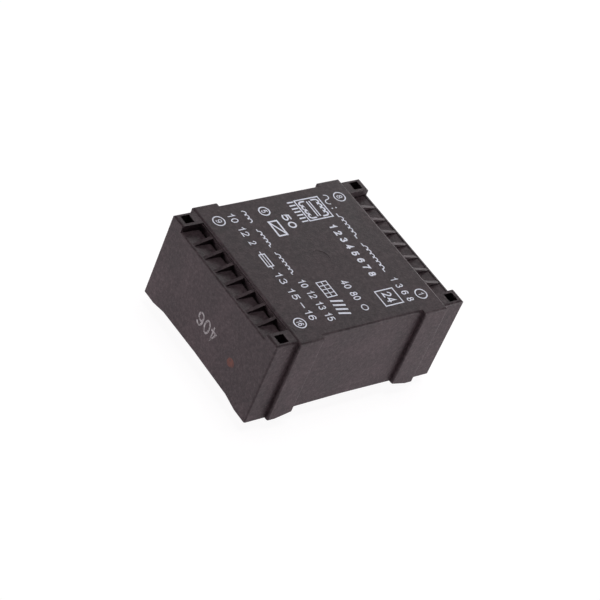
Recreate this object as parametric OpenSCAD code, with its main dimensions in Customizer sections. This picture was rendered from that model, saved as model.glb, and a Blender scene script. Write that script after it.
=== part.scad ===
// Encapsulated flat mains transformer for a printed circuit board.
// A moulded case, open at the bottom, holds a lapped U-I core with two coils and is filled with resin.
// Origin: middle of the footprint, on the plane of the four feet, which is the face of the board.
// X runs from the secondary pins to the primary pins, Y from the front bobbin to the back one, Z up.

/* [Core] */
// Width of each limb and yoke of the stamped sheets
limb_w = 10; // [8:0.5:13]
// Length of the core window, along X
window_l = 30; // [25:1:44]
// Width of the core window, along Y
window_w = 10; // [8:0.5:14]
// Number of layers in the stack
sheets = 21; // [15:1:33]
// Thickness of one layer with its insulation
sheet_pitch = 0.5; // [0.35:0.05:0.65]
// Insulating film between two layers
sheet_film = 0.02; // [0.01:0.01:0.05]

/* [Bobbins] */
// Free space between a flange and the middle of the window
flange_gap = 0.3; // [0.1:0.1:0.6]
// Play between the limb and the winding tube
tube_play = 0.1; // [0.05:0.05:0.2]
// Wall of the winding tube
tube_wall = 0.8; // [0.5:0.1:1.2]
// Thickness of the two end flanges
flange_t = 0.8; // [0.6:0.1:1.2]
// Thickness of the wall between the two chambers
partition_t = 1; // [0.8:0.1:2]
// Play between the bobbin ends and the yokes
end_play = 0.3; // [0.1:0.1:0.6]
// Thickness of the shelf that carries the pins under the yoke
shelf_t = 1; // [0.8:0.1:1.4]
// Length of the block round the pins, along X
pin_block_l = 3; // [2:0.2:4]
// Height of the pin block over the flange edges
block_rise = 0.8; // [0.6:0.1:1]
// Thickness of the webs under the shelf
web_t = 1; // [0.6:0.1:1.4]

/* [Windings] */
// Height of a flange edge over the tape
flange_lip = 0.65; // [0.3:0.05:0.9]
// Thickness of the tape wrapped on each winding
tape_t = 0.25; // [0.1:0.05:0.4]
// Play between a winding and its chamber walls
winding_play = 0.1; // [0.05:0.05:0.2]
// Radius of the outer corners of a winding
winding_r = 2.6; // [1:0.2:2.8]
// Diameter of the primary wire ends
primary_wire_d = 0.3; // [0.2:0.05:0.4]
// Diameter of the secondary wire ends
secondary_wire_d = 0.5; // [0.3:0.05:0.6]
// Distance of the wire ends from the chamber wall they pass
wire_slot = 1; // [0.6:0.1:2]
// Height of the upright part of a wire end
wire_rise = 1.6; // [1:0.1:2]

/* [Pins] */
// Diameter of a pin
pin_d = 0.8; // [0.6:0.1:1]
// Length of the pointed tip of a pin
pin_tip = 0.2; // [0.1:0.05:0.4]
// Pin length below the feet
pin_reach = 3; // [2.5:0.1:5]
// Distance between neighbouring pin places
pin_pitch = 5; // [4:0.1:5.2]
// Distance of each pin row from the end face
pin_inset = 4; // [3.5:0.1:5]
// Pin length held in the bobbin
pin_grip = 3; // [2:0.1:3.4]
// Play of a pin in its seat
pin_play = 0.02; // [0.01:0.01:0.05]
// Diameter of the solder that holds a wire end on its pin
solder_d = 1.3; // [1.2:0.1:1.8]
// How far the solder stands out of the resin
solder_out = 0.2; // [0.1:0.1:0.6]

/* [Case] */
// Height of the flange edges above the feet
flange_z = 2; // [1.9:0.1:4]
// Resin between the case and what it holds
resin_gap = 0.2; // [0.1:0.1:0.6]
// Wall of the two end faces
end_wall = 1.3; // [1:0.1:2]
// Wall of the two long sides
side_wall = 1.1; // [0.9:0.1:2]
// Wall of the top
top_wall = 1.1; // [0.9:0.1:2]
// Level of the resin above the feet
resin_z = 1.6; // [1.5:0.1:1.8]
// Radius of the upright outer edges
edge_r = 0.4; // [0.2:0.1:0.8]
// Radius of the outer top edges
top_r = 0.6; // [0.2:0.1:0.9]

/* [Side ribs and feet] */
// How far the side ribs stand out
rib_proud = 1; // [0.4:0.1:2]
// Width of a side rib
rib_w = 6.6; // [4:0.1:9]
// Length of a foot on the long sides
foot_x = 7.8; // [6:0.1:9]
// Length of the slope behind a foot on the long sides
ramp_x = 4.7; // [3:0.1:6]
// Rise of that slope
rise_x = 1.15; // [0.4:0.05:1.15]
// Length of a foot on the end faces
foot_y = 4; // [2:0.5:6]
// Length of the slope behind a foot on the end faces
ramp_y = 4; // [3:0.1:6]
// Rise of that slope
rise_y = 0.85; // [0.4:0.05:1.15]
// Further rise of the rim up to its middle
rim_bow = 0.25; // [0:0.05:0.35]

/* [Label plate and combs] */
// Height of the label plate over the combs
plate_rise = 0.2; // [0.1:0.05:0.5]
// Distance of the label plate and the side ribs from the end faces
plate_inset = 5.6; // [5.3:0.1:7]
// Distance of the deep end of the pockets from the end faces
pocket_inset = 5.3; // [4.2:0.1:5.5]
// Number of pockets in each comb
pockets = 8; // [4:1:12]
// Thickness of the walls between the pockets
comb_wall = 0.8; // [0.6:0.05:1.4]
// Drop of these walls below the corner posts, beside the label plate
comb_start = 0.35; // [0:0.05:0.5]
// Drop of these walls below the corner posts, beside the end wall
comb_drop = 1.6; // [1:0.05:1.65]
// Drop of the end wall below the corner posts
end_drop = 1.55; // [1.5:0.05:1.8]
// Height of the end wall over the pockets behind it
lip = 0.15; // [0.05:0.05:0.3]
// Radius of the outer edge of the end wall
end_r = 0.4; // [0.1:0.05:0.5]
// Width of the flat top of the end wall
end_land = 0.7; // [0.3:0.1:1]
// Depth of a pocket at the label plate
pocket_depth = 2; // [2:0.1:3.8]
// Material under the pockets
pocket_floor = 1.2; // [0.8:0.1:1.4]
// Width of a corner post, along Y
post_w = 4; // [3.6:0.1:5]
// Side of the square well in a corner post
well = 2.4; // [1.4:0.1:2.5]
// Distance of a well from the end face
well_end_wall = 1.35; // [1:0.05:1.8]
// Distance of a well from the long side
well_side_wall = 0.85; // [0.8:0.05:1.2]
// Material under a well
well_floor = 1.2; // [0.8:0.1:2]
// Diameter of the shallow round recess that holds the mark of the mould's gate
gate_d = 4.6; // [2:0.2:8]
// Depth of that recess
gate_depth = 0.05; // [0.05:0.05:0.2]
// Free height between the pin blocks and a corner post
post_gap = 3; // [1:0.5:5]

/* [Hidden] */
$fn = 48;
// How far a cut runs past what it cuts
over = 1;
FRONT = -1;
BACK = 1;

// core
core_l = window_l + 2 * limb_w;
core_w = window_w + 2 * limb_w;
stack = sheets * sheet_pitch;
limb_y = (window_w + limb_w) / 2;

// distances from the faces of a limb: the flanges reach the middle of the window
flange_edge = window_w / 2 - flange_gap;
tape_edge = flange_edge - flange_lip;
winding_edge = tape_edge - tape_t;
tube_edge = tube_play + tube_wall;
flange_w = limb_w + 2 * flange_edge;
flange_h = stack + 2 * flange_edge;
bobbin_l = window_l - 2 * end_play;
chamber_l = (bobbin_l - partition_t) / 2 - flange_t;
chamber_x = (partition_t + chamber_l) / 2;
chamber_end = bobbin_l / 2 - flange_t;
winding_l = chamber_l - 2 * winding_play;

// levels
coil_z = flange_z + flange_h / 2;
core_z = coil_z - stack / 2;
shelf_z = core_z - tube_play - shelf_t;
block_z = flange_z + block_rise;
case_h = flange_z + flange_h + resin_gap + top_wall;
comb_z = case_h - plate_rise;
post_z = core_z + post_gap;
solder_z = resin_z - solder_out;

// case
case_l = core_l + 2 * (resin_gap + end_wall);
side_y = limb_y + flange_w / 2 + resin_gap + side_wall;
inner_x = case_l / 2 - end_wall;
inner_y = side_y - side_wall;
plate_x = case_l / 2 - plate_inset;
pocket_x = case_l / 2 - pocket_inset;
land_x = case_l / 2 - end_land;
post_y = side_y - post_w;
pocket_pitch = 2 * post_y / pockets;

// pins: places 1 to 8 run from the front to the back on +X, places 9 to 16 back again on -X
pin_x = case_l / 2 - pin_inset;
function pin_place(n) = n <= 8 ? [pin_x, (n - 4.5) * pin_pitch] : [-pin_x, (12.5 - n) * pin_pitch];
function pin_side(n) = n <= 8 ? 1 : -1;

// ---- shapes that repeat ----

module rounded_rect(l, w, r) {
    square([l - 2 * r, w], center = true);
    square([l, w - 2 * r], center = true);
    for (x = [-1, 1], y = [-1, 1])
        translate([x * (l / 2 - r), y * (w / 2 - r)]) circle(r);
}

// a block that stands on the first axis, with its two upper corners rounded
module arch(w, h, r) {
    translate([-w / 2, 0]) square([w, h - r]);
    translate([-w / 2 + r, 0]) square([w - 2 * r, h]);
    for (x = [-1, 1])
        translate([x * (w / 2 - r), h - r]) circle(r);
}

// profiles drawn in X and Z run along Y, and profiles drawn in Y and Z run along X
module along_y(w) {
    rotate([90, 0, 0]) linear_extrude(w, center = true) children();
}

module along_x(l) {
    rotate([90, 0, 90]) linear_extrude(l, center = true) children();
}

module both_ends() {
    children();
    mirror([1, 0, 0]) children();
}

// block round a limb, out to one distance from its faces
module limb_block(l, edge, r) {
    translate([0, 0, coil_z]) along_x(l) rounded_rect(limb_w + 2 * edge, stack + 2 * edge, r);
}

// ring round a limb, between two distances from its faces
module limb_ring(l, inner, outer, r) {
    translate([0, 0, coil_z]) along_x(l) difference() {
        rounded_rect(limb_w + 2 * outer, stack + 2 * outer, r);
        square([limb_w + 2 * inner, stack + 2 * inner], center = true);
    }
}

// ---- case ----

module case_body() {
    intersection() {
        linear_extrude(case_h) rounded_rect(case_l, 2 * side_y, edge_r);
        along_x(case_l) arch(2 * side_y, comb_z, top_r);
        along_y(2 * side_y) arch(case_l, comb_z, top_r);
    }
    intersection() {
        along_x(2 * plate_x) arch(2 * side_y, case_h, top_r);
        along_y(2 * side_y) arch(2 * plate_x, case_h, top_r);
    }
}

module side_ribs() {
    rib_y = side_y + rib_proud;
    intersection() {
        for (x = [-1, 1])
            translate([x * (plate_x - rib_w / 2), 0]) linear_extrude(case_h)
                rounded_rect(rib_w, 2 * rib_y, edge_r);
        along_x(case_l) arch(2 * rib_y, case_h, top_r);
        along_y(2 * rib_y) arch(2 * plate_x, case_h, top_r);
    }
}

// the room inside the case, from one level up: it passes round the corner posts
module cavity(from_z) {
    slope = (pocket_depth - end_drop - lip) / (land_x - pocket_x);
    roof = case_h - top_wall;
    valley = comb_z - pocket_depth - pocket_floor;
    eaves = valley + (inner_x - pocket_x) * slope;
    valley_x = pocket_x - pocket_floor;
    difference() {
        along_y(2 * inner_y) polygon([
            [-inner_x, from_z], [inner_x, from_z], [inner_x, eaves], [pocket_x, valley],
            [valley_x, valley], [valley_x, roof], [-valley_x, roof], [-valley_x, valley],
            [-pocket_x, valley], [-inner_x, eaves]]);
        for (x = [-1, 1], y = [-1, 1])
            translate([x * case_l / 2, y * side_y, post_z])
                linear_extrude(case_h) square(2 * [pocket_inset, post_w], center = true);
    }
}

// what the comb walls leave free: they fall from the label plate to the end wall
module comb_fall() {
    end_z = comb_z - end_drop;
    start_z = comb_z - comb_start;
    polygon([[plate_x, start_z], [pocket_x, start_z], [land_x, comb_z - comb_drop], [land_x, end_z],
             [case_l / 2 + over, end_z], [case_l / 2 + over, case_h + over], [plate_x, case_h + over]]);
    translate([case_l / 2 - end_r, end_z - end_r]) difference() {
        square(end_r + over);
        circle(end_r);
    }
}

module comb_pocket() {
    polygon([[pocket_x, comb_z - pocket_depth], [land_x, comb_z - end_drop - lip],
             [land_x, case_h], [pocket_x, case_h]]);
}

module comb() {
    along_y(2 * post_y) comb_fall();
    for (i = [0 : pockets - 1]) {
        low = -post_y + i * pocket_pitch + (i == 0 ? 0 : comb_wall / 2);
        high = -post_y + (i + 1) * pocket_pitch - (i == pockets - 1 ? 0 : comb_wall / 2);
        translate([0, (low + high) / 2, 0]) along_y(high - low) comb_pocket();
    }
}

module wells() {
    for (y = [-1, 1])
        translate([case_l / 2 - well_end_wall - well / 2, y * (side_y - well_side_wall - well / 2),
                   post_z + well_floor])
            linear_extrude(case_h) square(well, center = true);
}

module gate_mark() {
    translate([0, 0, case_h - gate_depth]) cylinder(d = gate_d, h = gate_depth + over);
}

// lower edge of a wall: level feet, a slope behind each, and a slight bow between them
module rim(half, ramp, rise) {
    polygon([[-half, 0], [-half + ramp, rise], [0, rise + rim_bow], [half - ramp, rise],
             [half, 0], [half, -over], [-half, -over]]);
}

module case() {
    color([0.29, 0.27, 0.28]) difference() {
        union() {
            case_body();
            side_ribs();
        }
        cavity(-over);
        both_ends() {
            comb();
            wells();
        }
        gate_mark();
        along_y(2 * (side_y + rib_proud + over)) rim(case_l / 2 - foot_x, ramp_x, rise_x);
        along_x(case_l + 2 * over) rim(side_y - foot_y, ramp_y, rise_y);
    }
}

// ---- core ----

// layer i of the stack: every second layer is turned end for end
module layer(i) {
    translate([0, 0, core_z + i * sheet_pitch])
        mirror([i % 2, 0, 0]) linear_extrude(sheet_pitch - sheet_film) children();
}

module u_laminations() {
    color([0.55, 0.57, 0.60]) for (i = [0 : sheets - 1])
        layer(i) difference() {
            translate([-limb_w / 2, 0]) square([core_l - limb_w, core_w], center = true);
            translate([over / 2, 0]) square([window_l + over, window_w], center = true);
        }
}

module i_laminations() {
    color([0.64, 0.66, 0.69]) for (i = [0 : sheets - 1])
        layer(i) translate([(core_l - limb_w + sheet_film) / 2, 0])
            square([limb_w - sheet_film, core_w], center = true);
}

// ---- bobbins ----

// shelf under the yoke, with the block that holds the pins and three webs back to the flange
module terminal_rail() {
    rail_l = pin_x + pin_block_l / 2 - chamber_end;
    rail_x = chamber_end + rail_l / 2;
    drop = shelf_z - block_z + shelf_t / 2;
    translate([rail_x, 0, shelf_z])
        linear_extrude(shelf_t) square([rail_l, flange_w], center = true);
    translate([pin_x, 0, block_z])
        linear_extrude(drop) square([pin_block_l, flange_w], center = true);
    for (y = [-1, 0, 1])
        translate([rail_x, y * (flange_w - web_t) / 2, block_z])
            linear_extrude(drop) square([rail_l, web_t], center = true);
}

module bobbin_form() {
    limb_ring(bobbin_l, tube_play, tube_edge, edge_r);
    limb_ring(partition_t, tube_play, flange_edge, edge_r);
    both_ends() {
        translate([(bobbin_l - flange_t) / 2, 0, 0])
            limb_ring(flange_t, tube_play, flange_edge, edge_r);
        terminal_rail();
    }
}

module bobbin(side, numbers) {
    slot = secondary_wire_d + 2 * winding_play;
    difference() {
        translate([0, side * limb_y, 0]) bobbin_form();
        for (n = numbers) {
            translate(concat(pin_place(n), block_z - over))
                cylinder(pin_grip + over, d = pin_d + 2 * pin_play);
            translate([pin_side(n) * bobbin_l / 2, pin_place(n)[1], flange_z])
                cube([4 * flange_t, slot, 2 * (block_z - flange_z)], center = true);
        }
    }
}

module bobbin_front() {
    color([0.16, 0.16, 0.17]) bobbin(FRONT, [1, 3, 13, 15]);
}

module bobbin_back() {
    color([0.16, 0.16, 0.17]) bobbin(BACK, [6, 8, 10, 12]);
}

// ---- windings, tapes and pins ----

// wire end n: down from the winding, then along the board side to the solder on pin n
module wire_end(n, wire_d) {
    wire_z = block_z - winding_play - wire_d / 2;
    wire_x = chamber_end - wire_slot;
    difference() {
        translate([pin_side(n) * wire_x, pin_place(n)[1], wire_z]) {
            sphere(d = wire_d);
            cylinder(wire_rise, d = wire_d);
            rotate([0, pin_side(n) * 90, 0]) cylinder(pin_x - wire_x, d = wire_d);
        }
        translate(concat(pin_place(n), solder_z)) cylinder(2 * case_h, d = solder_d);
    }
}

module winding(side, numbers, wire_d) {
    translate([pin_side(numbers[0]) * chamber_x, side * limb_y, 0])
        limb_ring(winding_l, tube_edge, winding_edge, winding_r);
    for (n = numbers)
        wire_end(n, wire_d);
}

// tape round a winding, open along its board side where the wire ends come out
module tape(side, numbers, wire_d) {
    slot = wire_d + 2 * winding_play;
    slot_l = wire_slot + slot / 2;
    difference() {
        translate([pin_side(numbers[0]) * chamber_x, side * limb_y, 0]) difference() {
            limb_block(winding_l, tape_edge, winding_r + tape_t);
            limb_block(winding_l + over, winding_edge, winding_r);
        }
        for (n = numbers)
            translate([pin_side(n) * (chamber_end - slot_l / 2), pin_place(n)[1], flange_z])
                cube([slot_l, slot, 2 * wire_rise + over], center = true);
    }
}

module pin(n) {
    color([0.78, 0.79, 0.80]) translate(pin_place(n)) {
        translate([0, 0, -pin_reach]) cylinder(pin_tip, d1 = pin_d / 2, d2 = pin_d);
        translate([0, 0, pin_tip - pin_reach])
            cylinder(pin_reach - pin_tip + block_z + pin_grip, d = pin_d);
        translate([0, 0, solder_z]) cylinder(block_z - solder_z, d = solder_d);
    }
}

module primary_winding_1() {
    color([0.72, 0.40, 0.22]) winding(FRONT, [1, 3], primary_wire_d);
}

module primary_winding_2() {
    color([0.72, 0.40, 0.22]) winding(BACK, [6, 8], primary_wire_d);
}

module secondary_winding_1() {
    color([0.66, 0.35, 0.20]) winding(BACK, [10, 12], secondary_wire_d);
}

module secondary_winding_2() {
    color([0.66, 0.35, 0.20]) winding(FRONT, [13, 15], secondary_wire_d);
}

module primary_tape_1() {
    color([0.86, 0.74, 0.28]) tape(FRONT, [1, 3], primary_wire_d);
}

module primary_tape_2() {
    color([0.86, 0.74, 0.28]) tape(BACK, [6, 8], primary_wire_d);
}

module secondary_tape_1() {
    color([0.86, 0.74, 0.28]) tape(BACK, [10, 12], secondary_wire_d);
}

module secondary_tape_2() {
    color([0.86, 0.74, 0.28]) tape(FRONT, [13, 15], secondary_wire_d);
}

module pin_1() {
    pin(1);
}

module pin_3() {
    pin(3);
}

module pin_6() {
    pin(6);
}

module pin_8() {
    pin(8);
}

module pin_10() {
    pin(10);
}

module pin_12() {
    pin(12);
}

module pin_13() {
    pin(13);
}

module pin_15() {
    pin(15);
}

// ---- resin ----

// one bobbin with its full chambers
module coil_envelope() {
    limb_block(bobbin_l, tube_edge, edge_r);
    limb_block(partition_t, flange_edge, edge_r);
    both_ends() {
        translate([(bobbin_l - flange_t) / 2, 0, 0]) limb_block(flange_t, flange_edge, edge_r);
        translate([chamber_x, 0, 0]) limb_block(winding_l, tape_edge, winding_r + tape_t);
        terminal_rail();
    }
}

module potting() {
    color([0.13, 0.13, 0.14]) difference() {
        cavity(resin_z);
        translate([0, 0, core_z]) linear_extrude(stack - sheet_film) difference() {
            square([core_l, core_w], center = true);
            square([window_l, window_w], center = true);
        }
        for (side = [FRONT, BACK])
            translate([0, side * limb_y, 0]) coil_envelope();
        for (n = [1, 3, 6, 8])
            wire_end(n, primary_wire_d);
        for (n = [10, 12, 13, 15])
            wire_end(n, secondary_wire_d);
        for (n = [1, 3, 6, 8, 10, 12, 13, 15])
            translate(concat(pin_place(n), 0)) cylinder(block_z, d = solder_d);
    }
}

case();
potting();
u_laminations();
i_laminations();
bobbin_front();
bobbin_back();
primary_winding_1();
primary_winding_2();
secondary_winding_1();
secondary_winding_2();
primary_tape_1();
primary_tape_2();
secondary_tape_1();
secondary_tape_2();
pin_1();
pin_3();
pin_6();
pin_8();
pin_10();
pin_12();
pin_13();
pin_15();
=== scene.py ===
import bpy
import bmesh
import math
import random
from mathutils import Matrix, Vector


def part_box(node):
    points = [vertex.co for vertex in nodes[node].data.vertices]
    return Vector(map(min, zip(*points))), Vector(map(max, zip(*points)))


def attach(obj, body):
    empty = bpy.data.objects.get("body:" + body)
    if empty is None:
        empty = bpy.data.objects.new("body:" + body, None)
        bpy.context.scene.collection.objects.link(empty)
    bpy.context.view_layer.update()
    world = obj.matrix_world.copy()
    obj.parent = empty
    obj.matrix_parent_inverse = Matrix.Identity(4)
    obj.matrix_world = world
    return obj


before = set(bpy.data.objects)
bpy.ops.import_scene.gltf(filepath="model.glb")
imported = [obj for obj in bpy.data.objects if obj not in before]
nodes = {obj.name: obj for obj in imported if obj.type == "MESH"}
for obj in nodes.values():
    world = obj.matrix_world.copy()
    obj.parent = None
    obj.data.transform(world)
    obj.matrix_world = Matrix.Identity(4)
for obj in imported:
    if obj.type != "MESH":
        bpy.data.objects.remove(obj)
scene = bpy.context.scene
scene.view_settings.view_transform = "Standard"


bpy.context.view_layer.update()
MM = 0.001

# ---- sizes read from the part --------------------------------------------------------------------
case_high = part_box("case")[1]
TOP = case_high.z                    # face of the label plate
END = case_high.x                    # end faces
FLOOR = min(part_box(n)[0].z for n in nodes)    # tips of the pins


# ---- node helpers --------------------------------------------------------------------------------
# sockets of the mix node when it mixes colours
MIX_FACTOR, MIX_A, MIX_B = 0, 6, 7
MIX_COLOR = 2


class Mat:
    """A principled material with a few shorthand ways to add nodes."""

    def __init__(self, name, rough=0.5, metal=0.0, spec=0.5):
        self.m = bpy.data.materials.new(name)
        self.m.use_nodes = True
        self.t = self.m.node_tree
        self.b = self.t.nodes["Principled BSDF"]
        self.b.inputs["Roughness"].default_value = rough
        self.b.inputs["Metallic"].default_value = metal
        self.b.inputs["Specular IOR Level"].default_value = spec
        self.coord = self.t.nodes.new("ShaderNodeTexCoord").outputs["Object"]

    def node(self, kind, **values):
        n = self.t.nodes.new(kind)
        for socket, value in values.items():
            n.inputs[socket].default_value = value
        return n

    def link(self, a, b):
        self.t.links.new(a, b)

    def noise(self, scale, detail=3.0, rough=0.5, stretch=None, distortion=0.0):
        n = self.node("ShaderNodeTexNoise", Scale=scale, Detail=detail, Roughness=rough,
                      Distortion=distortion)
        vec = self.coord
        if stretch:
            mp = self.node("ShaderNodeMapping")
            mp.inputs["Scale"].default_value = stretch
            self.link(vec, mp.inputs["Vector"])
            vec = mp.outputs["Vector"]
        self.link(vec, n.inputs["Vector"])
        return n.outputs["Fac"]

    def ramp(self, fac, stops):
        r = self.node("ShaderNodeValToRGB")
        e = r.color_ramp.elements
        while len(e) < len(stops):
            e.new(0.5)
        for i, (p, c) in enumerate(stops):
            e[i].position = p
            e[i].color = (*c, 1) if isinstance(c, tuple) else (c, c, c, 1)
        self.link(fac, r.inputs["Fac"])
        return r.outputs["Color"]

    def mix(self, fac, a, b):
        n = self.t.nodes.new("ShaderNodeMix")
        n.data_type = "RGBA"
        n.blend_type = "MIX"
        n.inputs[MIX_FACTOR].default_value = fac
        self.link(a, n.inputs[MIX_A])
        self.link(b, n.inputs[MIX_B])
        return n.outputs[MIX_COLOR]

    def color(self, out):
        self.link(out, self.b.inputs["Base Color"])

    def roughness(self, out):
        self.link(out, self.b.inputs["Roughness"])

    def bump(self, layers):
        """layers: (height output, strength, distance in mm), the first one deepest in the chain."""
        normal = None
        for height, strength, dist in layers:
            n = self.node("ShaderNodeBump", Strength=strength, Distance=dist * MM)
            self.link(height, n.inputs["Height"])
            if normal is not None:
                self.link(normal, n.inputs["Normal"])
            normal = n.outputs["Normal"]
        self.link(normal, self.b.inputs["Normal"])


def moulded(name, base, dark, light):
    """Matt moulded plastic: a mottled grain, small specks and broad cloudy handling marks."""
    m = Mat(name, rough=0.5, spec=0.2)
    cloud = m.noise(95, 4, 0.6, distortion=0.5)
    mottle = m.noise(1100, 3, 0.7)
    speck = m.noise(2600, 2, 0.7)
    c = m.ramp(mottle, [(0.34, dark), (0.5, base), (0.66, light)])
    c = m.mix(0.38, c, m.ramp(speck, [(0.36, dark), (0.5, base), (0.64, light)]))
    c = m.mix(0.34, c, m.ramp(cloud, [(0.34, dark), (0.5, base), (0.68, light)]))
    m.color(c)
    m.roughness(m.ramp(cloud, [(0.3, 0.44), (0.7, 0.56)]))
    m.bump([(mottle, 0.45, 0.07), (speck, 0.6, 0.05)])
    return m.m


# ---- materials -----------------------------------------------------------------------------------
case_mat = moulded("case_plastic", base=(0.0408, 0.0268, 0.0309),
                   dark=(0.0150, 0.0095, 0.0115), light=(0.0850, 0.0600, 0.0670))
bobbin_mat = moulded("bobbin_plastic", base=(0.030, 0.030, 0.033),
                     dark=(0.024, 0.024, 0.026), light=(0.038, 0.038, 0.041))

m = Mat("resin", rough=0.3, spec=0.5)
flow = m.noise(90, 2, 0.5, distortion=0.6)
dust = m.noise(1500, 3, 0.6)
m.color(m.mix(0.3, m.ramp(flow, [(0.3, (0.018, 0.018, 0.019)), (0.7, (0.030, 0.029, 0.029))]),
              m.ramp(dust, [(0.45, (0.018, 0.018, 0.019)), (0.8, (0.055, 0.053, 0.050))])))
m.roughness(m.ramp(dust, [(0.3, 0.22), (0.75, 0.5)]))
m.bump([(flow, 0.5, 0.25), (dust, 0.15, 0.03)])
resin_mat = m.m

m = Mat("core_sheet", rough=0.42, metal=0.85, spec=0.5)
layers = m.noise(60, 2, 0.5, stretch=(0.5, 0.5, 60))
roll = m.noise(400, 4, 0.6, stretch=(0.15, 3, 1))
m.color(m.mix(0.4, m.ramp(layers, [(0.3, (0.20, 0.205, 0.215)), (0.7, (0.36, 0.365, 0.38))]),
              m.ramp(roll, [(0.3, (0.22, 0.215, 0.21)), (0.7, (0.38, 0.385, 0.40))])))
m.roughness(m.ramp(roll, [(0.3, 0.34), (0.7, 0.55)]))
m.bump([(roll, 0.3, 0.02)])
core_mat = m.m

m = Mat("winding_wire", rough=0.3, metal=0.9, spec=0.5)
turns_and_groove_shade = m.node("ShaderNodeTexWave", Scale=900, Distortion=0.6, Detail=1.0)
turns_and_groove_shade.bands_direction = "X"
m.link(m.coord, turns_and_groove_shade.inputs["Vector"])
shade = m.noise(300, 2, 0.5)
# the colour of the turns runs from dark in the grooves between them to light on their tops: painted
# shade. The same bands drive the bump.
m.color(m.mix(0.35, m.ramp(turns_and_groove_shade.outputs["Fac"], [(0.0, (0.26, 0.085, 0.035)),
                                                  (0.6, (0.62, 0.25, 0.11))]),
              m.ramp(shade, [(0.3, (0.42, 0.15, 0.06)), (0.7, (0.66, 0.28, 0.12))])))
m.bump([(turns_and_groove_shade.outputs["Fac"], 0.8, 0.08)])
wire_mat = m.m

m = Mat("winding_tape", rough=0.28, spec=0.5)
creases = m.noise(500, 3, 0.6, stretch=(3, 0.4, 0.4))
m.color(m.ramp(creases, [(0.3, (0.66, 0.44, 0.06)), (0.7, (0.82, 0.60, 0.12))]))
m.roughness(m.ramp(creases, [(0.3, 0.2), (0.7, 0.42)]))
m.bump([(creases, 0.4, 0.04)])
tape_mat = m.m

m = Mat("tinned_pin", rough=0.28, metal=1.0, spec=0.5)
drawn = m.noise(1200, 3, 0.6, stretch=(2, 2, 0.15))
blotch = m.noise(900, 2, 0.5)
m.color(m.mix(0.5, m.ramp(drawn, [(0.3, (0.60, 0.595, 0.585)), (0.7, (0.80, 0.80, 0.80))]),
              m.ramp(blotch, [(0.35, (0.56, 0.555, 0.54)), (0.7, (0.80, 0.795, 0.79))])))
m.roughness(m.ramp(blotch, [(0.3, 0.2), (0.7, 0.42)]))
m.bump([(drawn, 0.25, 0.02)])
pin_mat = m.m

m = Mat("label_print", rough=0.6, spec=0.3)
ink = m.noise(2600, 3, 0.65)
m.color(m.ramp(ink, [(0.30, (0.68, 0.69, 0.77)), (0.52, (0.82, 0.83, 0.94))]))
m.bump([(ink, 0.3, 0.02)])
print_mat = m.m

m = Mat("stamp_ink", rough=0.7, spec=0.2)
ink = m.noise(1900, 4, 0.7)
m.color(m.ramp(ink, [(0.40, (0.07, 0.058, 0.06)), (0.50, (0.26, 0.235, 0.245)),
                     (0.62, (0.40, 0.37, 0.385))]))
m.bump([(ink, 0.4, 0.03)])
stamp_mat = m.m

m = Mat("dab_paint", rough=0.5, spec=0.24)
blot = m.noise(1300, 3, 0.6)
m.color(m.ramp(blot, [(0.35, (0.058, 0.021, 0.019)), (0.55, (0.102, 0.029, 0.021)),
                      (0.75, (0.15, 0.039, 0.025))]))
m.bump([(blot, 0.5, 0.05)])
dab_mat = m.m

for name, mat in (("case", case_mat), ("potting", resin_mat), ("u_laminations", core_mat),
                  ("i_laminations", core_mat), ("bobbin", bobbin_mat), ("winding", wire_mat),
                  ("tape", tape_mat), ("pin", pin_mat)):
    for n, o in nodes.items():
        if name in n:
            o.data.materials.clear()
            o.data.materials.append(mat)

# ---- rounded edges: a bevel on the moulding's sharp corners --------------------------------------
EDGE_ROUNDING = 0.16 * MM
SHARP_ANGLE = math.radians(38)       # flatter corners are left as they are
bevel = nodes["case"].modifiers.new("edges", "BEVEL")
bevel.width = EDGE_ROUNDING
bevel.segments = 3
bevel.limit_method = "ANGLE"
bevel.angle_limit = SHARP_ANGLE
bevel.use_clamp_overlap = True
bevel.harden_normals = False


# ---- plain digits drawn with a pen, one unit high: (paths, advance), path = (points, closed) ------
def sweep(cx, cy, rx, ry, a0, a1, n=14):
    """Points on an elliptical arc from a0 to a1 degrees."""
    return [(cx + rx * math.cos(math.radians(a0 + (a1 - a0) * i / n)),
             cy + ry * math.sin(math.radians(a0 + (a1 - a0) * i / n))) for i in range(n + 1)]


def oval(cx, cy, rx, ry):
    """A closed ellipse that starts at its top."""
    return sweep(cx, cy, rx, ry, 90, 450, 22)[:-1], True


def turned(shape):
    """A glyph's paths turned by half a turn about the middle of a digit."""
    return [([(0.52 - x, 1.0 - y) for x, y in path], shut) for path, shut in shape]


SIX = [oval(0.26, 0.31, 0.26, 0.31), (sweep(0.30, 0.50, 0.30, 0.50, 192, 48), False)]
GLYPHS = {
    "0": ([oval(0.26, 0.5, 0.26, 0.5)], 0.80),
    "1": ([([(0.06, 0.76), (0.20, 0.82), (0.31, 1.0), (0.31, 0.0)], False)], 0.74),
    "2": ([(sweep(0.26, 0.72, 0.25, 0.28, 168, -32) + [(0.02, 0.0), (0.52, 0.0)], False)], 0.80),
    "3": ([(sweep(0.25, 0.76, 0.22, 0.24, 155, -75, 10)
            + sweep(0.25, 0.26, 0.26, 0.26, 75, -155, 12), False)], 0.80),
    "4": ([([(0.38, 0.0), (0.38, 1.0), (0.0, 0.28), (0.52, 0.28)], False)], 0.80),
    "5": ([([(0.47, 1.0), (0.10, 1.0), (0.05, 0.53)]
            + sweep(0.26, 0.32, 0.26, 0.32, 128, -148), False)], 0.80),
    "6": (SIX, 0.80),
    "7": ([([(0.0, 1.0), (0.5, 1.0), (0.34, 0.66), (0.22, 0.32), (0.17, 0.0)], False)], 0.78),
    "8": ([oval(0.26, 0.76, 0.21, 0.24), oval(0.26, 0.26, 0.26, 0.26)], 0.80),
    "9": (turned(SIX), 0.80),
    " ": ([], 0.55),
}


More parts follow.
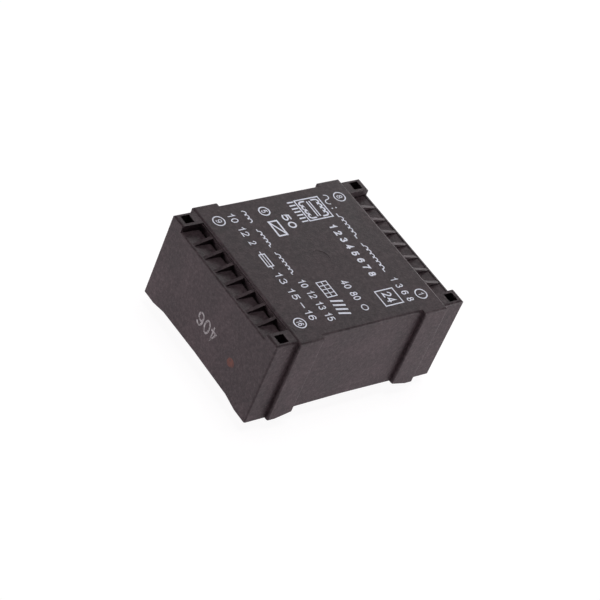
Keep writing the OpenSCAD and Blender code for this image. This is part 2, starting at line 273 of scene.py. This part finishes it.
# ---- flat print: strokes and digits laid just over a face ----------------------------------------
THIN = 0.2                           # mm, like the two below: widths of the strokes
LINE = 0.27
BOLD = 0.42
LIFT = 0.006                         # mm from the face to the lowest stroke
LIFT_STEP = 0.0003                   # mm from one height to the next
LIFT_LEVELS = 40                     # different heights before they repeat
MITRE_LIMIT = 0.35                   # keeps the corners of thick strokes from running out
TINY = 1e-6                          # below this, two directions cancel out
PLAIN_WIDTH = 0.95                   # width to height of digits that are not stretched


class Sheet:
    """Flat artwork in millimetres, built as one mesh and laid on a face of the part."""

    def __init__(self):
        self.bm = bmesh.new()

    def face(self, pts):
        # neighbouring faces lie at slightly different heights, so crossing strokes stay clean
        level = LIFT + LIFT_STEP * (len(self.bm.faces) % LIFT_LEVELS)
        self.bm.faces.new([self.bm.verts.new((x, y, level)) for x, y in pts])

    def stroke(self, pts, w, closed=False):
        """A line of width w through the points, with mitred corners and ends that run on by w / 2."""
        n = len(pts)
        left, right = [], []
        for i in range(n):
            a = Vector(pts[i - 1]) if (i or closed) else None
            b = Vector(pts[i])
            c = Vector(pts[(i + 1) % n]) if (i < n - 1 or closed) else None
            d0 = (b - a).normalized() if a is not None else (c - b).normalized()
            d1 = (c - b).normalized() if c is not None else d0
            t = d0 + d1
            t = t.normalized() if t.length > TINY else d0
            nrm = Vector((-t.y, t.x))
            k = max(MITRE_LIMIT, nrm.dot(Vector((-d0.y, d0.x))))
            if a is None:
                b = b - d0 * w / 2
            if c is None:
                b = b + d0 * w / 2
            left.append(b + nrm * w / 2 / k)
            right.append(b - nrm * w / 2 / k)
        m = n if closed else n - 1
        for i in range(m):
            j = (i + 1) % n
            self.face([left[i], left[j], right[j], right[i]])

    def ring(self, cx, cy, r, w, n=40):
        self.stroke(sweep(cx, cy, r, r, 0, 360, n)[:-1], w, True)

    def disc(self, cx, cy, r, n=24):
        self.face([(cx + r * math.cos(2 * math.pi * i / n), cy + r * math.sin(2 * math.pi * i / n))
                   for i in range(n)])

    def rect(self, x0, y0, x1, y1, w):
        self.stroke([(x0, y0), (x1, y0), (x1, y1), (x0, y1)], w, True)

    def text(self, s, x, y, h, w=None, line=LINE, centred=False, flip=False):
        """Stroked digits of height h on a baseline at y, stretched to a width w where one is given."""
        pen, paths = 0.0, []
        for ch in s:
            shape, advance = GLYPHS[ch]
            paths += [([(pen + px, py) for px, py in path], shut) for path, shut in shape]
            pen += advance
        pen -= advance - max(px for path, shut in GLYPHS[s[-1]][0] for px, py in path)
        k = h - line
        kx = (w - line) / pen if w else k * PLAIN_WIDTH
        width = pen * kx
        x0 = x - width / 2 if centred else x + line / 2
        for path, shut in paths:
            pts = [(x0 + px * kx, y + line / 2 + py * k) for px, py in path]
            if flip:
                pts = [(2 * x0 + width - px, 2 * y + h - py) for px, py in pts]
            self.stroke(pts, line, shut)

    def lay(self, name, mat, origin, ex, ey):
        """Puts the sheet on a face: origin and the directions of its two axes, in the part's frame."""
        ex, ey = Vector(ex), Vector(ey)
        nz = ex.cross(ey)
        for v in self.bm.verts:
            v.co = Vector(origin) * MM + ex * v.co.x * MM + ey * v.co.y * MM + nz * v.co.z * MM
        bmesh.ops.recalc_face_normals(self.bm, faces=self.bm.faces)
        for f in self.bm.faces:
            f.normal_update()
            if f.normal.dot(nz) < 0:
                f.normal_flip()
        me = bpy.data.meshes.new(name)
        self.bm.to_mesh(me)
        self.bm.free()
        me.materials.append(mat)
        ob = bpy.data.objects.new(name, me)
        scene.collection.objects.link(ob)
        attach(ob, "root")


def coil(sheet, x0, y, pitch, humps, lead=0.0):
    """A winding symbol: half-round humps, between straight leads where a lead length is given."""
    r = pitch / 2
    pts = [(x0, y)] if lead else []
    for i in range(humps):
        pts += sweep(x0 + lead + r + i * pitch, y, r, r * 1.15, 180, 0, 10)
    if lead:
        pts.append((x0 + 2 * lead + humps * pitch, y))
    sheet.stroke(pts, LINE)


# the label reads along -Y: its x is the distance from the back edge, its y is the part's x
label = Sheet()
# circled numbers at the ends of the pin rows: middle of the number, middle of the circle, width
for number, u, circle_u, v, wide in (("8", 4.6, 4.6, 17.15, 1.0), ("1", 37.2 - 0.1, 37.2, 17.15, None),
                                     ("9", 4.6, 4.6, -17.15, 1.0), ("16", 37.2, 37.2, -17.15, 1.55)):
    label.ring(circle_u, v, 1.42, 0.29, n=44)
    label.text(number, u, v - 0.78, 1.56, wide, THIN, True)

# primary row: mains sign, two windings and their pins
label.stroke(sweep(3.95, 13.4, 0.75, 0.85, 180, 0, 10)
             + sweep(5.45, 13.4, 0.75, 0.85, 180, 360, 10)[1:], LINE)
label.disc(7.6, 14.0, 0.2)
label.disc(7.6, 12.9, 0.2)
coil(label, 9.5, 12.8, 1.28, 5, 0.9)
coil(label, 19.5, 12.8, 1.28, 6, 0.8)
label.text("1 3 6 8", 31.0, 12.5, 1.9, 7.5, LINE)

# framed diagram of a two-coil transformer
label.rect(3.2, 4.8, 9.9, 11.5, 0.34)
for yy, way in ((10.05, 1), (6.25, -1)):
    humps = []
    for i in range(4):
        humps += sweep(4.55 + 1.34 * i, yy, 0.67, 0.8 * way, 180, 0, 10)
    label.stroke([(3.88, yy - 0.75 * way)] + humps + [(9.24, yy - 0.75 * way)], 0.45)
for yy in (7.8, 8.5):
    label.stroke([(4.2, yy), (8.9, yy)], 0.32)
for i in range(7):
    label.stroke([(3.4 + i * 1.05, 2.9), (3.4 + i * 1.05, 4.2)], BOLD)

# plain scale of numbers
label.text("1 2 3 4 5 6 7 8", 12.3, 8.3, 1.95, 17.0, BOLD)

# framed number
label.rect(33.7, 6.2, 38.3, 11.2, 0.3)
label.text("24", 36.0, 7.5, 2.4, 3.1, 0.34, True)

# numbers and marks of the middle rows
label.text("40 80", 28.6, -0.1, 1.95, 6.2, LINE)
label.ring(37.2, 0.9, 0.8, 0.24)
label.text("50", 6.4, -1.4, 2.2, 4.6, BOLD)
label.ring(4.4, -4.45, 1.3, 0.34)
label.text("5", 4.4, -5.23, 1.56, None, 0.24, True)
label.rect(7.8, -5.6, 12.4, -3.3, BOLD)
label.stroke([(7.8, -5.6), (12.4, -3.3)], BOLD)
label.rect(27.6, -6.0, 32.2, -3.3, 0.26)
for i in range(1, 4):
    label.stroke([(27.6 + 1.15 * i, -6.0), (27.6 + 1.15 * i, -3.3)], 0.2)
label.stroke([(27.6, -4.65), (32.2, -4.65)], 0.2)
for i in range(4):
    label.stroke([(34.0 + 1.25 * i, -3.3 - 0.15 * i), (33.4 + 1.25 * i, -5.9 - 0.1 * i)], 0.5)

# secondary row
coil(label, 3.1, -9.9, 1.25, 3)
coil(label, 9.3, -9.9, 1.15, 4, 0.5)
coil(label, 16.8, -9.9, 1.2, 5, 0.5)
label.text("10 12 13 15", 25.8, -10.1, 1.9, 12.8, LINE)

# fuse row
label.text("10 12", 3.1, -14.25, 1.9, 7.4, LINE)
label.text("2", 12.2, -14.25, 1.9, None, LINE)
label.rect(16.5, -14.15, 20.3, -12.65, 0.3)
label.stroke([(15.7, -13.4), (21.1, -13.4)], 0.22)
label.text("13", 22.4, -14.25, 1.9, 3.5, LINE)
label.text("15", 27.5, -14.25, 1.9, 3.3, LINE)
label.stroke([(32.0, -13.3), (33.4, -13.3)], LINE)
label.text("16", 34.3, -14.25, 1.9, 2.9, LINE)
label.lay("label_print", print_mat, (0, 21, TOP / MM), (0, -1, 0), (1, 0, 0))

# a stamped number, upside down, and a dab of inspection paint on the end face
stamp = Sheet()
stamp.text("406", 19.0, -5.2, 3.85, 7.3, 0.5, flip=True)
stamp.lay("stamped_number", stamp_mat, (-END / MM, 22, 12.7), (0, -1, 0), (0, 0, 1))

dab = Sheet()
rng = random.Random(4)
DAB_POINTS = 40
DAB_RADIUS = 1.15
DAB_STRETCH = 1.05                   # height to width
outline = []
for i in range(DAB_POINTS):
    a = 2 * math.pi * i / DAB_POINTS
    waves = 0.10 * math.sin(2 * a + 0.6) + 0.07 * math.sin(3 * a + 1.9)
    r = DAB_RADIUS + waves + rng.uniform(-0.03, 0.03)
    outline.append((r * math.cos(a), DAB_STRETCH * r * math.sin(a)))
dab.face(outline)
dab.lay("inspection_dab", dab_mat, (-END / MM, -10.8, 8.45), (0, -1, 0), (0, 0, 1))


# ---- studio --------------------------------------------------------------------------------------
# the camera's place and turn, fitted to the edges of the body
cam_data = bpy.data.cameras.new("camera")
cam = bpy.data.objects.new("camera", cam_data)
scene.collection.objects.link(cam)
right = Vector((0.77762205, -0.54270759, 0.31744671))
down = Vector((-0.18255069, -0.67803820, -0.71199680))
ahead = Vector((0.60164706, 0.49571430, -0.62632911))
turn = Matrix((right, -down, -ahead)).transposed()
cam.matrix_world = Matrix.Translation(Vector((-304.35, -250.27, 326.59)) * MM) @ turn.to_4x4()
cam_data.sensor_width = 36
cam_data.lens = 136.02
cam_data.clip_start = 0.01
scene.camera = cam


def backdrop(name, lit, glow, level):
    """Pale paper that glows a little; the camera sees it lifted towards white, shadows included."""
    m = bpy.data.materials.new(name)
    m.use_nodes = True
    t = m.node_tree
    t.nodes.clear()

    def add(kind, **links):
        n = t.nodes.new(kind)
        for k, v in links.items():
            t.links.new(v, n.inputs[int(k[1:])])
        return n

    path = add("ShaderNodeLightPath")
    paper = add("ShaderNodeBsdfDiffuse")
    paper.inputs["Color"].default_value = (*lit, 1)
    shine = add("ShaderNodeEmission")
    shine.inputs["Color"].default_value = (*glow, 1)
    white = add("ShaderNodeEmission")
    white.inputs["Color"].default_value = (1, 1, 1, 1)
    lamp = add("ShaderNodeAddShader", _0=paper.outputs[0], _1=shine.outputs[0])
    seen = add("ShaderNodeMath", _0=path.outputs["Is Camera Ray"])
    seen.operation = "MULTIPLY"
    seen.inputs[1].default_value = level
    mix = add("ShaderNodeMixShader", _0=seen.outputs[0], _1=lamp.outputs[0], _2=white.outputs[0])
    add("ShaderNodeOutputMaterial", _0=mix.outputs[0])
    return m


FLOOR_SIZE = 8                       # m
FLOOR_GAP = 0.02 * MM                # free height under the tips of the pins
bpy.ops.mesh.primitive_plane_add(size=FLOOR_SIZE, location=(0, 0, FLOOR - FLOOR_GAP))
floor = bpy.context.object
floor.name = "floor"
floor.data.materials.append(backdrop("floor_paper", lit=(0.80, 0.80, 0.80), glow=(0.60, 0.55, 0.58),
                                     level=0.84))

# the world is white to the camera and almost dark as a lamp
AMBIENT = 0.0175
world = bpy.data.worlds.new("studio")
scene.world = world
world.use_nodes = True
wt = world.node_tree
bg = wt.nodes["Background"]
bg.inputs["Color"].default_value = (1, 1, 1, 1)
path = wt.nodes.new("ShaderNodeLightPath")
either = wt.nodes.new("ShaderNodeMath")
either.operation = "MAXIMUM"
wt.links.new(path.outputs["Is Camera Ray"], either.inputs[0])
wt.links.new(path.outputs["Is Transmission Ray"], either.inputs[1])
lift = wt.nodes.new("ShaderNodeMath")
lift.operation = "MULTIPLY_ADD"
lift.inputs[1].default_value = 1.0 - AMBIENT
lift.inputs[2].default_value = AMBIENT
wt.links.new(either.outputs[0], lift.inputs[0])
wt.links.new(lift.outputs[0], bg.inputs["Strength"])


def softbox(name, where, size, power):
    """A rectangular lamp, places and sizes in mm, that points at the middle of the part."""
    d = bpy.data.lights.new(name, "AREA")
    d.shape = "RECTANGLE"
    d.size, d.size_y = size[0] * MM, size[1] * MM
    d.energy = power
    o = bpy.data.objects.new(name, d)
    scene.collection.objects.link(o)
    o.location = Vector(where) * MM
    aim = Vector(AIM) * MM - o.location
    o.rotation_euler = aim.to_track_quat("-Z", "Y").to_euler()


AIM = (0, 0, 10)
STRIP = (400, 60)
SQUARE = (260, 260)
softbox("low_strip_front_right", (606, -350, 30), STRIP, 3.68)
softbox("low_strip_right", (700, 0, 30), STRIP, 3.68)
softbox("low_strip_left", (-606, 350, 30), STRIP, 1.57)
softbox("top", (25, 0, 700), SQUARE, 2.48)
softbox("right_back", (606, 350, 200), SQUARE, 0.61)
softbox("back_right", (430, 430, 360), SQUARE, 0.79)
softbox("back_left", (-350, 606, 250), SQUARE, 0.53)
